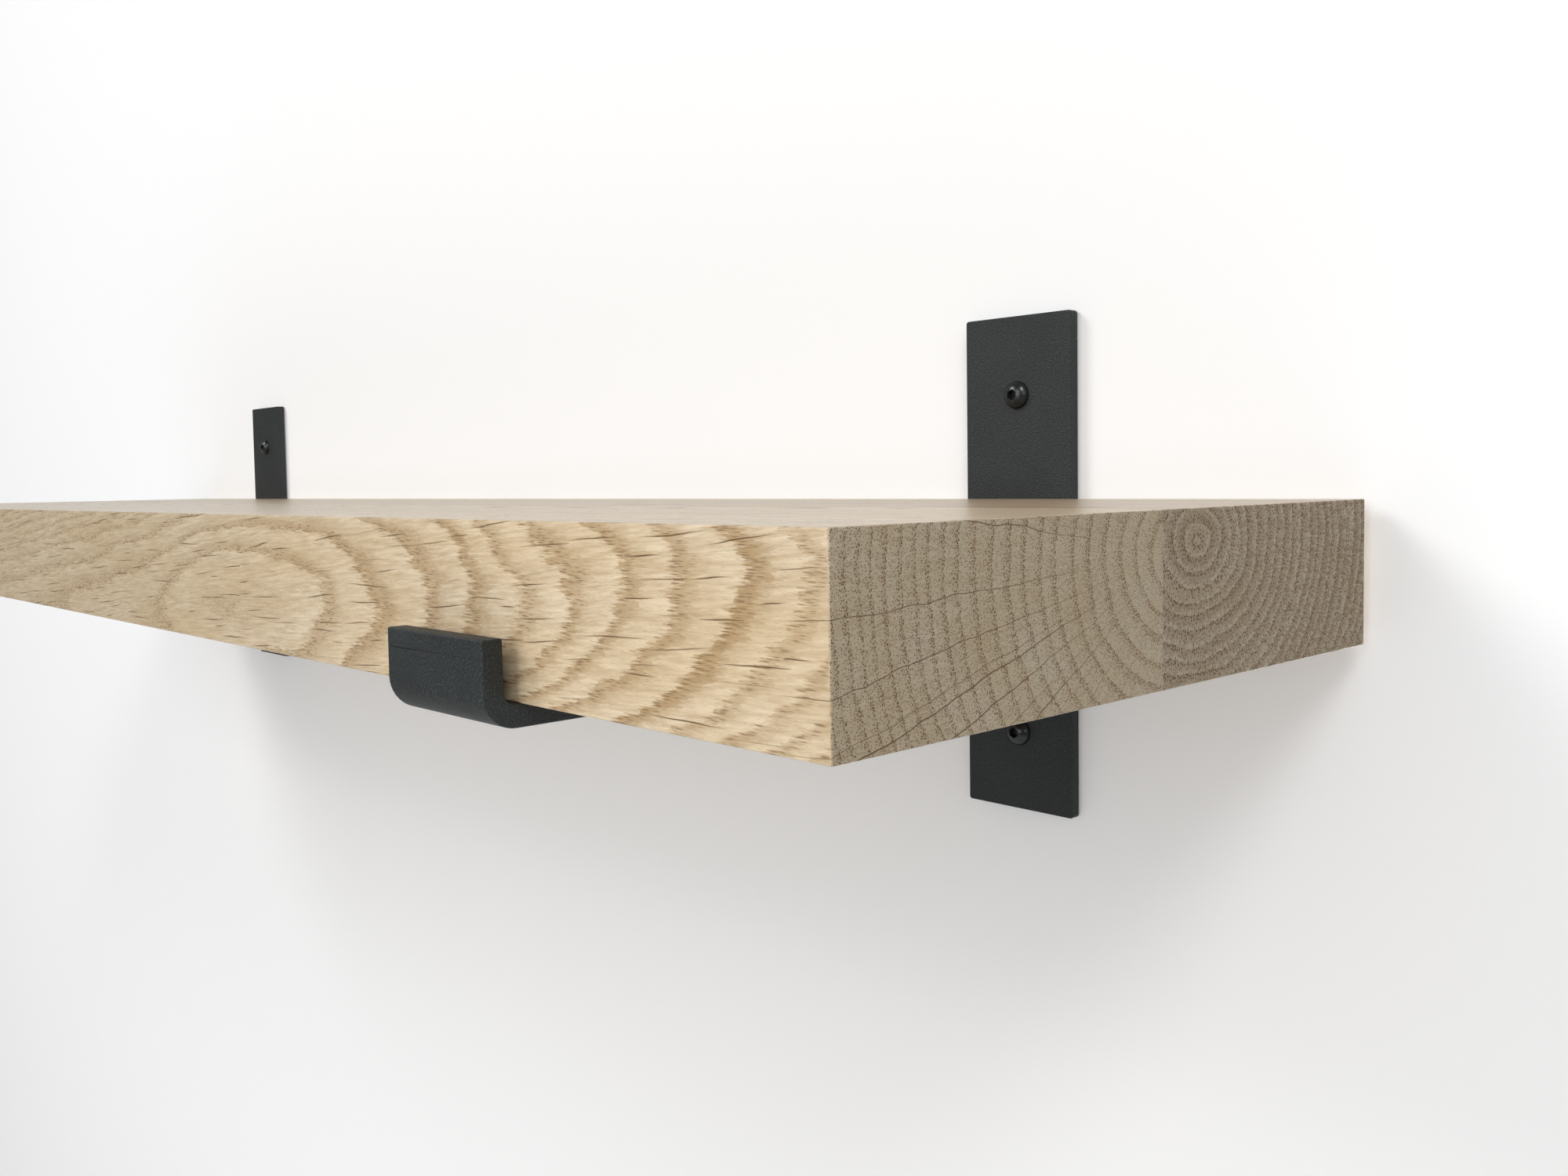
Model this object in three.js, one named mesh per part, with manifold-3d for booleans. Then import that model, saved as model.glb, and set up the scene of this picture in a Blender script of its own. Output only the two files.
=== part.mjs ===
// A wall shelf: an oak board glued up from two staves, carried by two black steel brackets.
// Each bracket is a flat wall plate with an arm welded to it, and the arm is bent up into a
// lip in front of the board. Screws and plugs hold the plates to the wall, and countersunk
// screws hold the board to the arms.
//
// Millimetres, +Z up. X runs along the wall to the right and Y runs into the wall, so the room
// is on the -Y side. The origin lies on the wall plane, midway between the brackets, level
// with the underside of the board.

import * as THREE from "three";
import { mergeVertices } from "three/addons/utils/BufferGeometryUtils.js";
import Module from "manifold-3d";

const wasm = await Module();
wasm.setup();

// ---------------------------------------------------------------- driving dimensions

// Board
const boardLength = 800;
const boardThickness = 38;
const frontStaveDepth = 100;
const backStaveDepth = 100;
const boardEdgeEase = 0.8; // chamfer sanded along every outer edge

// Brackets
const bracketInset = 109; // from each end of the board to the centre line of its bracket
const barWidth = 40;
const plateThickness = 4;
const plateAboveBoard = 58; // from the board's top to the plate's upper end
const plateBelowBoard = 62; // from the board's underside to the plate's lower end
const plateCornerRadius = 1;
const armThickness = 5;
const bendInnerRadius = 3;
const lipRise = 14; // from the arm's upper face to the top of the lip
const lipClearance = 4; // between the board's front and the inside of the lip
const lipCornerRadius = 1;
const weldLeg = 4;
const weldEndInset = 3; // the bead stops short of both sides of the bar

// Wall screws, with a domed head and a hexagon socket
const wallScrewEndDistance = 25; // from each end of a plate to the screw's axis
const wallScrewLength = 50; // under the head
const wallScrewDiameter = 4.4;
const wallScrewTipLength = 7;
const wallScrewHeadDiameter = 9;
const wallScrewHeadHeight = 3.2;
const wallScrewSocketAcrossFlats = 3;
const wallScrewSocketDepth = 1.7;
const wallScrewHoleClearance = 0.55; // around the screw, in the plate

// Wall plugs
const plugLength = 40;
const plugDiameter = 8;
const plugTaper = 0.6; // the far end is smaller in radius by this much
const plugSlotWidth = 1.2;
const plugNeckLength = 11; // the unsplit sleeve at the mouth

// Shelf screws, countersunk in the arms
const shelfScrewLength = 30; // overall
const shelfScrewDiameter = 4;
const shelfScrewTipLength = 6;
const shelfScrewHeadDiameter = 8;
const shelfScrewHeadRim = 0.5; // straight edge of the head, outside its cone
const shelfScrewHeadRecess = 0.3; // the head lies this far inside the arm's underside
const shelfScrewCrossWidth = 1.3;
const shelfScrewCrossLength = 4.4;
const shelfScrewCrossDepth = 1.6;

// Fits
const threadClearance = 0.3; // around every screw in its hole, and between plug and plate
const pilotDepthClearance = 1; // below the tip of a shelf screw

// Fineness of round shapes
const roundSegments = 28;
const arcSegments = 10;
const plateFacetRows = 6;

// ---------------------------------------------------------------- places that follow from them

const boardDepth = frontStaveDepth + backStaveDepth;
const plateFrontY = -plateThickness;
const boardBackY = plateFrontY;
const boardFrontY = boardBackY - boardDepth;
const glueJointY = boardBackY - backStaveDepth;
const plateTopZ = boardThickness + plateAboveBoard;
const plateBottomZ = -plateBelowBoard;
const lipInnerY = boardFrontY - lipClearance;
const lipOuterY = lipInnerY - armThickness;
const bracketX = boardLength / 2 - bracketInset;
const bracketSides = { left: -bracketX, right: bracketX };
const wallScrewHeights = {
  upper: plateTopZ - wallScrewEndDistance,
  lower: plateBottomZ + wallScrewEndDistance,
};
const shelfScrewPlaces = {
  front: glueJointY - frontStaveDepth / 2,
  back: boardBackY - backStaveDepth / 2,
};

// ---------------------------------------------------------------- materials

const oak = new THREE.MeshStandardMaterial({ color: "#cdb18a", roughness: 0.5 });
const darkerOak = new THREE.MeshStandardMaterial({ color: "#c0a27b", roughness: 0.5 });
const blackPowderCoat = new THREE.MeshStandardMaterial({ color: "#23282a", roughness: 0.7 });
const blackenedSteel = new THREE.MeshStandardMaterial({
  color: "#17191a",
  roughness: 0.4,
  metalness: 0.6,
});
const zincPlate = new THREE.MeshStandardMaterial({
  color: "#b9bec1",
  roughness: 0.35,
  metalness: 1,
});
const greyNylon = new THREE.MeshStandardMaterial({ color: "#a3a6a6", roughness: 0.6 });

// ---------------------------------------------------------------- joining and cutting

// A closed geometry as a solid that can be joined or cut.
function solidFrom(geometry) {
  const bare = geometry.clone();
  bare.deleteAttribute("normal");
  bare.deleteAttribute("uv");
  const merged = mergeVertices(bare, 1e-4);
  return new wasm.Manifold(
    new wasm.Mesh({
      numProp: 3,
      vertProperties: merged.attributes.position.array,
      triVerts: new Uint32Array(merged.index.array),
    }),
  );
}

// A solid as a flat-shaded geometry.
function geometryFrom(solid) {
  const mesh = solid.getMesh();
  const indexed = new THREE.BufferGeometry();
  indexed.setAttribute("position", new THREE.BufferAttribute(mesh.vertProperties, 3));
  indexed.setIndex(new THREE.BufferAttribute(mesh.triVerts, 1));
  const flat = indexed.toNonIndexed();
  flat.computeVertexNormals();
  return flat;
}

// A geometry with the given geometries cut out of it.
function cut(geometry, cutters) {
  const cutSolid = cutters.reduce(
    (solid, cutter) => solid.subtract(solidFrom(cutter)),
    solidFrom(geometry),
  );
  return geometryFrom(cutSolid);
}

// A box between two corners.
function boxBetween(low, high) {
  const size = high.map((value, axis) => value - low[axis]);
  const middle = high.map((value, axis) => (value + low[axis]) / 2);
  return new THREE.BoxGeometry(...size).translate(...middle);
}

// An outline drawn in the Y-Z plane, extruded along X and centred on X = 0.
function extrudeAlongX(outline, width, options = {}) {
  const sideways = new THREE.Matrix4().makeBasis(
    new THREE.Vector3(0, 1, 0),
    new THREE.Vector3(0, 0, 1),
    new THREE.Vector3(1, 0, 0),
  );
  return new THREE.ExtrudeGeometry(outline, {
    depth: width,
    bevelEnabled: false,
    curveSegments: arcSegments,
    ...options,
  })
    .applyMatrix4(sideways)
    .translate(-width / 2, 0, 0);
}

// A profile of [radius, distance] points turned about the Y axis.
function turnAboutY(points) {
  const profile = points.map(([radius, distance]) => new THREE.Vector2(radius, distance));
  return new THREE.LatheGeometry(profile, roundSegments);
}

function namedMesh(name, geometry, material, x = 0, y = 0, z = 0) {
  const mesh = new THREE.Mesh(geometry, material);
  mesh.name = name;
  mesh.position.set(x, y, z);
  return mesh;
}

// ---------------------------------------------------------------- board

// The board's section across the wall, with its four long edges eased.
function boardSection() {
  const ease = boardEdgeEase;
  const section = new THREE.Shape();
  section.moveTo(boardFrontY + ease, 0);
  section.lineTo(boardBackY - ease, 0);
  section.lineTo(boardBackY, ease);
  section.lineTo(boardBackY, boardThickness - ease);
  section.lineTo(boardBackY - ease, boardThickness);
  section.lineTo(boardFrontY + ease, boardThickness);
  section.lineTo(boardFrontY, boardThickness - ease);
  section.lineTo(boardFrontY, ease);
  section.closePath();
  return section;
}

// The whole board before it is divided at the glue joint, with its end edges eased too.
function wholeBoard() {
  return extrudeAlongX(boardSection(), boardLength - 2 * boardEdgeEase, {
    bevelEnabled: true,
    bevelThickness: boardEdgeEase,
    bevelSize: boardEdgeEase,
    bevelOffset: -boardEdgeEase,
    bevelSegments: 1,
  });
}

// The pilot hole that a shelf screw cuts for itself, opening through the board's underside.
function pilotHole(x, y) {
  const depth = shelfScrewLength - armThickness + shelfScrewHeadRecess + pilotDepthClearance;
  const radius = shelfScrewDiameter / 2 + threadClearance;
  return new THREE.CylinderGeometry(radius, radius, 2 * depth, roundSegments)
    .rotateX(Math.PI / 2)
    .translate(x, y, 0);
}

// One stave: the part of the board between two places across its depth.
function stave(fromY, toY, screwY) {
  const half = boardLength / 2;
  const slice = boxBetween([-half, fromY, 0], [half, toY, boardThickness]);
  const piece = geometryFrom(solidFrom(wholeBoard()).intersect(solidFrom(slice)));
  return cut(
    piece,
    Object.values(bracketSides).map((x) => pilotHole(x, screwY)),
  );
}

function makeBoard() {
  const board = new THREE.Group();
  board.add(
    namedMesh("front_oak_stave", stave(boardFrontY, glueJointY, shelfScrewPlaces.front), oak),
    namedMesh("back_oak_stave", stave(glueJointY, boardBackY, shelfScrewPlaces.back), darkerOak),
  );
  return board;
}

// ---------------------------------------------------------------- bracket

// The plate's outline as seen from the room, with its four corners rounded.
function plateOutline() {
  const half = barWidth / 2;
  const round = plateCornerRadius;
  const outline = new THREE.Shape();
  outline.moveTo(-half + round, plateBottomZ);
  outline.lineTo(half - round, plateBottomZ);
  outline.absarc(half - round, plateBottomZ + round, round, -Math.PI / 2, 0);
  outline.lineTo(half, plateTopZ - round);
  outline.absarc(half - round, plateTopZ - round, round, 0, Math.PI / 2);
  outline.lineTo(-half + round, plateTopZ);
  outline.absarc(-half + round, plateTopZ - round, round, Math.PI / 2, Math.PI);
  outline.lineTo(-half, plateBottomZ + round);
  outline.absarc(-half + round, plateBottomZ + round, round, Math.PI, 1.5 * Math.PI);
  return outline;
}

// A flat plate standing on the wall, drilled for its two screws. The bar it is cut from is
// divided along its height, so the faces between the holes keep facets of their own.
function wallPlate() {
  const height = plateTopZ - plateBottomZ;
  const bar = new THREE.BoxGeometry(barWidth, plateThickness, height, 1, 1, plateFacetRows)
    .translate(0, -plateThickness / 2, (plateTopZ + plateBottomZ) / 2);
  const rounded = new THREE.ExtrudeGeometry(plateOutline(), {
    depth: 2 * plateThickness,
    bevelEnabled: false,
    curveSegments: arcSegments / 2,
  })
    .rotateX(Math.PI / 2)
    .translate(0, plateThickness / 2, 0);
  const plate = geometryFrom(solidFrom(bar).intersect(solidFrom(rounded)));
  const holeRadius = wallScrewDiameter / 2 + wallScrewHoleClearance;
  const drills = Object.values(wallScrewHeights).map((z) =>
    new THREE.CylinderGeometry(holeRadius, holeRadius, 4 * plateThickness, roundSegments)
      .translate(0, 0, z),
  );
  return cut(plate, drills);
}

// The arm's side outline: level under the board, then bent up into the lip.
function armOutline() {
  const bendY = lipInnerY + bendInnerRadius;
  const bendZ = bendInnerRadius;
  const bendOuterRadius = bendInnerRadius + armThickness;
  const round = lipCornerRadius;
  const outline = new THREE.Shape();
  outline.moveTo(plateFrontY, -armThickness);
  outline.lineTo(plateFrontY, 0);
  outline.lineTo(bendY, 0);
  outline.absarc(bendY, bendZ, bendInnerRadius, -Math.PI / 2, -Math.PI, true);
  outline.lineTo(lipInnerY, lipRise - round);
  outline.absarc(lipInnerY - round, lipRise - round, round, 0, Math.PI / 2);
  outline.lineTo(lipOuterY + round, lipRise);
  outline.absarc(lipOuterY + round, lipRise - round, round, Math.PI / 2, Math.PI);
  outline.lineTo(lipOuterY, bendZ);
  outline.absarc(bendY, bendZ, bendOuterRadius, -Math.PI, -Math.PI / 2);
  return outline;
}

// The countersunk hole for a shelf screw, cut from the arm's underside.
function countersunkHole(y) {
  const headRadius = shelfScrewHeadDiameter / 2 + threadClearance;
  const shankRadius = shelfScrewDiameter / 2 + threadClearance;
  const rimTop = shelfScrewHeadRecess + shelfScrewHeadRim + threadClearance;
  const coneTop = rimTop + headRadius - shankRadius;
  const beyond = armThickness; // the cutter runs out past both faces of the arm
  return turnAboutY([
    [0, -beyond],
    [headRadius, -beyond],
    [headRadius, rimTop],
    [shankRadius, coneTop],
    [shankRadius, armThickness + beyond],
    [0, armThickness + beyond],
  ])
    .rotateX(Math.PI / 2)
    .translate(0, y, -armThickness);
}

function bracketArm() {
  return cut(
    extrudeAlongX(armOutline(), barWidth),
    Object.values(shelfScrewPlaces).map((y) => countersunkHole(y)),
  );
}

// The fillet weld in the corner under the arm, slightly convex.
function armWeld() {
  const cornerZ = -armThickness;
  const bulge = 0.62 * weldLeg;
  const outline = new THREE.Shape();
  outline.moveTo(plateFrontY, cornerZ);
  outline.lineTo(plateFrontY - weldLeg, cornerZ);
  outline.quadraticCurveTo(
    plateFrontY - bulge,
    cornerZ - bulge,
    plateFrontY,
    cornerZ - weldLeg,
  );
  outline.closePath();
  return extrudeAlongX(outline, barWidth - 2 * weldEndInset);
}

// ---------------------------------------------------------------- fasteners

// A wall screw on the Y axis, its domed head resting on the plate's front.
function wallScrew() {
  const shankRadius = wallScrewDiameter / 2;
  const headRadius = wallScrewHeadDiameter / 2;
  const domeTop = plateFrontY - wallScrewHeadHeight;
  const domeSteps = 6;
  const points = [[0, domeTop]];
  for (let step = 1; step <= domeSteps; step += 1) {
    const angle = (step / domeSteps) * (Math.PI / 2);
    points.push([
      headRadius * Math.sin(angle),
      plateFrontY - wallScrewHeadHeight * Math.cos(angle),
    ]);
  }
  const tipY = plateFrontY + wallScrewLength;
  points.push([shankRadius, plateFrontY], [shankRadius, tipY - wallScrewTipLength], [0, tipY]);
  const socketRadius = wallScrewSocketAcrossFlats / Math.sqrt(3);
  const socket = new THREE.CylinderGeometry(
    socketRadius,
    socketRadius,
    2 * wallScrewSocketDepth,
    6,
  ).translate(0, domeTop, 0);
  return cut(turnAboutY(points), [socket]);
}

// A split nylon plug on the Y axis, flush with the wall, around the screw's thread.
function wallPlug() {
  const bore = wallScrewDiameter / 2 + threadClearance;
  const mouthRadius = plugDiameter / 2;
  const mouthY = threadClearance;
  const sleeve = turnAboutY([
    [bore, mouthY],
    [mouthRadius, mouthY],
    [mouthRadius, plugNeckLength],
    [mouthRadius - plugTaper, plugLength],
    [bore, plugLength],
    [bore, mouthY],
  ]);
  const slot = boxBetween(
    [-plugDiameter, plugNeckLength, -plugSlotWidth / 2],
    [plugDiameter, 2 * plugLength, plugSlotWidth / 2],
  );
  return cut(sleeve, [slot]);
}

// A countersunk screw pointing up, its head just inside the arm's underside.
function shelfScrew() {
  const headRadius = shelfScrewHeadDiameter / 2;
  const shankRadius = shelfScrewDiameter / 2;
  const rimTop = shelfScrewHeadRim;
  const coneTop = rimTop + headRadius - shankRadius;
  const screw = turnAboutY([
    [0, 0],
    [headRadius, 0],
    [headRadius, rimTop],
    [shankRadius, coneTop],
    [shankRadius, shelfScrewLength - shelfScrewTipLength],
    [0, shelfScrewLength],
  ]);
  const reach = shelfScrewCrossLength / 2;
  const half = shelfScrewCrossWidth / 2;
  const depth = shelfScrewCrossDepth;
  const cross = [
    boxBetween([-reach, -depth, -half], [reach, depth, half]),
    boxBetween([-half, -depth, -reach], [half, depth, reach]),
  ];
  return cut(screw, cross).rotateX(Math.PI / 2);
}

// ---------------------------------------------------------------- assembly

// One bracket with everything that fastens it, around X = 0.
function makeBracket(side) {
  const bracket = new THREE.Group();
  bracket.add(
    namedMesh(side + "_wall_plate", wallPlate(), blackPowderCoat),
    namedMesh(side + "_bracket_arm", bracketArm(), blackPowderCoat),
    namedMesh(side + "_arm_weld", armWeld(), blackPowderCoat),
  );
  for (const [level, height] of Object.entries(wallScrewHeights)) {
    bracket.add(
      namedMesh(`${side}_${level}_wall_screw`, wallScrew(), blackenedSteel, 0, 0, height),
      namedMesh(`${side}_${level}_wall_plug`, wallPlug(), greyNylon, 0, 0, height),
    );
  }
  const headZ = -armThickness + shelfScrewHeadRecess;
  for (const [place, y] of Object.entries(shelfScrewPlaces)) {
    bracket.add(namedMesh(`${side}_${place}_shelf_screw`, shelfScrew(), zincPlate, 0, y, headZ));
  }
  return bracket;
}

const shelf = new THREE.Group();
shelf.add(makeBoard());
for (const [side, x] of Object.entries(bracketSides)) {
  const bracket = makeBracket(side);
  bracket.position.x = x;
  shelf.add(bracket);
}

export default shelf;
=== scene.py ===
"""The looks of a wall shelf: an oak board on two black flat-bar brackets.

Each sub-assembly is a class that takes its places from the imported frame, models its pieces with
Blender's own tools and dresses them. Lengths in the dataclasses are millimetres unless a name
says otherwise, and Blender works in metres. X runs along the wall, Y into the wall and Z up.
"""

import logging
import math
from abc import ABC, abstractmethod
from contextlib import contextmanager
from dataclasses import dataclass, field
from enum import Enum
from functools import partial
from typing import Any, Callable, ClassVar, Iterator, Sequence, TypeAlias

import bmesh
import bpy
from mathutils import Matrix, Vector


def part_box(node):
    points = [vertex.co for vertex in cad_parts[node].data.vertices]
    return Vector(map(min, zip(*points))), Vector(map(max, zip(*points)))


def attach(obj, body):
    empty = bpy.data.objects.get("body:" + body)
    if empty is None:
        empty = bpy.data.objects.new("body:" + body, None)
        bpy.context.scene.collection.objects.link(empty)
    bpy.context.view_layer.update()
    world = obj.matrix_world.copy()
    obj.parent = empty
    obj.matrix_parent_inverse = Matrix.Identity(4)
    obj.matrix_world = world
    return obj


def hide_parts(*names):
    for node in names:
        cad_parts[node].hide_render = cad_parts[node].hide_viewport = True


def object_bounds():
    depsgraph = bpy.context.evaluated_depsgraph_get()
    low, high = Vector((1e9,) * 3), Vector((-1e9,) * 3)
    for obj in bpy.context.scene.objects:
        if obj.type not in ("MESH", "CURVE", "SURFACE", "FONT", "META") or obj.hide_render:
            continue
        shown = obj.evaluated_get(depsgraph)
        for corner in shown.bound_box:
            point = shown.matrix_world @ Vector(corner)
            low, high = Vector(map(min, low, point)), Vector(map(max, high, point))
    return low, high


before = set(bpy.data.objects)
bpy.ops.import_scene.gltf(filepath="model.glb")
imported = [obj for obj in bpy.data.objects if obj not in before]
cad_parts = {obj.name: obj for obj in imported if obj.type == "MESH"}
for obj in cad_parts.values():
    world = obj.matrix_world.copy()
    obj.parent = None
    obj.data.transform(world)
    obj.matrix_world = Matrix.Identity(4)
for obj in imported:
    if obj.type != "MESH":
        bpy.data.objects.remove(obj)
cad_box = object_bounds()

LOG = logging.getLogger("wall_shelf")
MM = 0.001
BODY = "root"
THREAD_STEPS = 18

Piece: TypeAlias = bpy.types.Object
Socket: TypeAlias = bpy.types.NodeSocket
NodeAdder: TypeAlias = Callable[..., Socket]
Curve: TypeAlias = tuple[tuple[float, float], ...]


# ---- small tools


class Axis(Enum):
    """The direction in which a turned piece grows."""

    ALONG_WALL = (1.0, 0.0, 0.0)
    INTO_WALL = (0.0, 1.0, 0.0)
    UP = (0.0, 0.0, 1.0)

    @property
    def vector(self) -> Vector:
        """The direction as a vector."""
        return Vector(self.value)


class Side(Enum):
    """Which bracket, as seen from the room."""

    LEFT = "left"
    RIGHT = "right"


class Level(Enum):
    """Which wall fixing of a bracket."""

    UPPER = "upper"
    LOWER = "lower"


class Row(Enum):
    """Which screw up into the board."""

    FRONT = "front"
    BACK = "back"


class Kind(Enum):
    """Nodes that come again and again: type, settings, the inputs to fill, the output."""

    SCALED = ("ShaderNodeMath", {"operation": "MULTIPLY_ADD"}, (0, 1, 2), 0)
    CLAMPED = ("ShaderNodeMath", {"operation": "MULTIPLY_ADD", "use_clamp": True}, (0, 1, 2), 0)
    PLACED = ("ShaderNodeVectorMath", {"operation": "MULTIPLY_ADD"}, (0, 1, 2), 0)
    FADED = ("ShaderNodeMapRange", {"interpolation_type": "SMOOTHSTEP"}, (0, 1, 2, 3, 4), 0)
    BLENDED = ("ShaderNodeMix", {"data_type": "RGBA"}, (0, 6, 7), 2)
    TINTED = ("ShaderNodeMix", {"data_type": "RGBA", "blend_type": "MULTIPLY"}, (0, 6, 7), 2)


SCALED, CLAMPED, PLACED, FADED, BLENDED, TINTED = Kind


@dataclass(frozen=True)
class Station:
    """A place along a turned piece: its distance along the axis and its radius, in mm."""

    distance: float
    radius: float


def linear_colour(hex_colour: str) -> tuple[float, float, float, float]:
    """Turns an sRGB hex colour into a linear RGBA value.

    Args:
        hex_colour: Six hex digits after a hash sign.

    Returns:
        Red, green, blue and alpha, linear.
    """
    channels = [int(hex_colour[start : start + 2], 16) / 255 for start in (1, 3, 5)]
    linear = [c / 12.92 if c <= 0.04045 else ((c + 0.055) / 1.055) ** 2.4 for c in channels]
    return (linear[0], linear[1], linear[2], 1.0)


def add_node(
    tree: bpy.types.NodeTree,
    kind: str | Kind,
    inputs: dict[int | str, Any] | tuple[Any, ...] = (),
    output: int | str = 0,
    **settings: Any,
) -> Socket | None:
    """Adds a node with its settings, values and links.

    Args:
        tree: The node tree to add to.
        kind: The node's type name, or one of the kinds that come again and again.
        inputs: Values, hex colours or sockets to link from, by the input's name or index.
            A tuple fills the inputs in turn.
        output: The output that is wanted, for a type name.
        **settings: Properties of the node, for a type name.

    Returns:
        The wanted output, or nothing for a node without one.
    """
    sockets: Sequence[int] = range(len(inputs))
    if isinstance(kind, Kind):
        kind, settings, sockets, output = kind.value
    node = tree.nodes.new(kind)
    for name, value in settings.items():
        setattr(node, name, value)
    pairs = inputs.items() if isinstance(inputs, dict) else zip(sockets, inputs)
    for key, value in pairs:
        if isinstance(value, Socket):
            tree.links.new(value, node.inputs[key])
        else:
            colour = isinstance(value, str)
            node.inputs[key].default_value = linear_colour(value) if colour else value
    return node.outputs[output] if node.outputs else None


def new_material(name: str) -> tuple[bpy.types.Material, NodeAdder]:
    """Makes an empty material.

    Args:
        name: The material's name.

    Returns:
        The material and the function that adds nodes to it.
    """
    material = bpy.data.materials.new(name)
    material.use_nodes = True
    material.node_tree.nodes.clear()
    return material, partial(add_node, material.node_tree)


def clear_selection() -> None:
    """Leaves nothing selected in object mode."""
    bpy.ops.object.select_all(action="DESELECT")


def make_active(piece: Piece) -> None:
    """Selects one object alone and makes it the active one."""
    clear_selection()
    piece.select_set(True)
    bpy.context.view_layer.objects.active = piece


@contextmanager
def editing(piece: Piece) -> Iterator[None]:
    """Holds an object in edit mode, at first with all of it selected."""
    make_active(piece)
    bpy.ops.object.mode_set(mode="EDIT")
    bpy.ops.mesh.select_all(action="SELECT")
    try:
        yield
    finally:
        bpy.ops.object.mode_set(mode="OBJECT")


def settle(piece: Piece) -> None:
    """Moves an object's place, turn and size into its mesh."""
    make_active(piece)
    bpy.ops.object.transform_apply(location=True, rotation=True, scale=True)


def add_block(name: str, low: Vector, high: Vector) -> Piece:
    """Adds a box between two corners in metres, with its place in its mesh."""
    clear_selection()
    bpy.ops.mesh.primitive_cube_add(size=1, location=(low + high) / 2, scale=high - low)
    piece = bpy.context.object
    piece.name = name
    settle(piece)
    return piece


def select_edges(piece: Piece, test: Callable[[Vector, Vector], bool]) -> None:
    """Selects the edges of the piece in edit mode whose middle and direction pass a test."""
    bpy.ops.mesh.select_mode(type="EDGE")
    bpy.ops.mesh.select_all(action="DESELECT")
    mesh = bmesh.from_edit_mesh(piece.data)
    for edge in mesh.edges:
        start, end = (vertex.co for vertex in edge.verts)
        edge.select = test((start + end) / 2, (end - start).normalized())
    mesh.select_flush_mode()
    bmesh.update_edit_mesh(piece.data)


def apply_modifier(piece: Piece, kind: str, **settings: Any) -> None:
    """Adds a modifier with its settings and applies it."""
    make_active(piece)
    modifier = piece.modifiers.new(kind.lower(), kind)
    for name, value in settings.items():
        setattr(modifier, name, value)
    bpy.ops.object.modifier_apply(modifier=modifier.name)


def cut_away(piece: Piece, cutters: Sequence[Piece]) -> None:
    """Cuts each cutter out of the piece and removes the cutter."""
    for cutter in cutters:
        apply_modifier(piece, "BOOLEAN", operation="DIFFERENCE", object=cutter, solver="EXACT")
        bpy.data.objects.remove(cutter)


def ease_edges(piece: Piece, width: float, segments: int, angle: float = 35) -> None:
    """Rounds every sharp edge of the piece.

    Args:
        piece: The piece to round.
        width: The width of the rounding in mm.
        segments: How many faces it takes.
        angle: The edge angle in degrees above which an edge is sharp.
    """
    apply_modifier(
        piece,
        "BEVEL",
        width=width * MM,
        segments=segments,
        limit_method="ANGLE",
        angle_limit=math.radians(angle),
        miter_outer="MITER_ARC",
        use_clamp_overlap=True,
    )


def face_outwards(piece: Piece) -> None:
    """Merges doubled vertices and turns every face outwards."""
    with editing(piece):
        bpy.ops.mesh.remove_doubles(threshold=1e-6)
        bpy.ops.mesh.normals_make_consistent(inside=False)


def turn_piece(
    name: str, stations: Sequence[Station], axis: Axis, place: Vector, sides: int
) -> Piece:
    """Models a round piece as on a lathe, from one end to the other.

    Args:
        name: The piece's name.
        stations: The outline, from the first end to the last.
        axis: The direction in which the stations' distances grow.
        place: The point of the axis at distance 0, in metres.
        sides: How many sides the round has.

    Returns:
        The closed piece.
    """
    clear_selection()
    along = axis.vector
    first = stations[0]
    bpy.ops.mesh.primitive_circle_add(
        vertices=sides,
        radius=first.radius * MM,
        fill_type="NGON",
        location=place + along * first.distance * MM,
        rotation=Vector((0, 0, 1)).rotation_difference(along).to_euler(),
    )
    piece = bpy.context.object
    piece.name = name
    settle(piece)
    with editing(piece):
        for before, after in zip(stations, stations[1:]):
            step = along * (after.distance - before.distance) * MM
            bpy.ops.mesh.extrude_region_move(TRANSFORM_OT_translate={"value": step})
            scale = after.radius / before.radius
            widen = [1.0 if component else scale for component in axis.value]
            centre = place + along * after.distance * MM
            bpy.ops.transform.resize(value=widen, center_override=centre)
    face_outwards(piece)
    return piece


def copy_piece(piece: Piece, node: str, new_node: str) -> Piece:
    """Copies a piece with its own mesh from one CAD node's place to another's.

    Args:
        piece: The piece, modelled at its CAD node.
        node: That CAD node.
        new_node: The CAD node that the copy stands at.

    Returns:
        The copy.
    """
    make_active(piece)
    bpy.ops.object.duplicate(linked=False)
    copy = bpy.context.object
    copy.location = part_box(new_node)[0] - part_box(node)[0]
    settle(copy)
    return copy


def join_pieces(pieces: Sequence[Piece]) -> Piece:
    """Joins several objects into the first one."""
    make_active(pieces[0])
    for piece in pieces[1:]:
        piece.select_set(True)
    bpy.ops.object.join()
    return pieces[0]


def finish_piece(
    piece: Piece,
    node: str,
    material: bpy.types.Material,
    smooth_angle: float = 30,
) -> None:
    """Dresses a finished piece and puts it in the place of its CAD node.

    Args:
        piece: The finished piece.
        node: The CAD node that it stands for.
        material: The piece's material.
        smooth_angle: Edges flatter than this, in degrees, are shaded smooth.
    """
    make_active(piece)
    bpy.ops.object.shade_smooth_by_angle(angle=math.radians(smooth_angle))
    apply_modifier(piece, "WEIGHTED_NORMAL", keep_sharp=True)
    piece.data.materials.clear()
    piece.data.materials.append(material)
    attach(piece, BODY)
    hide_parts(node)
    LOG.info("%s: %d faces, for %s", piece.name, len(piece.data.polygons), node)


# ---- finishes


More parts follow.
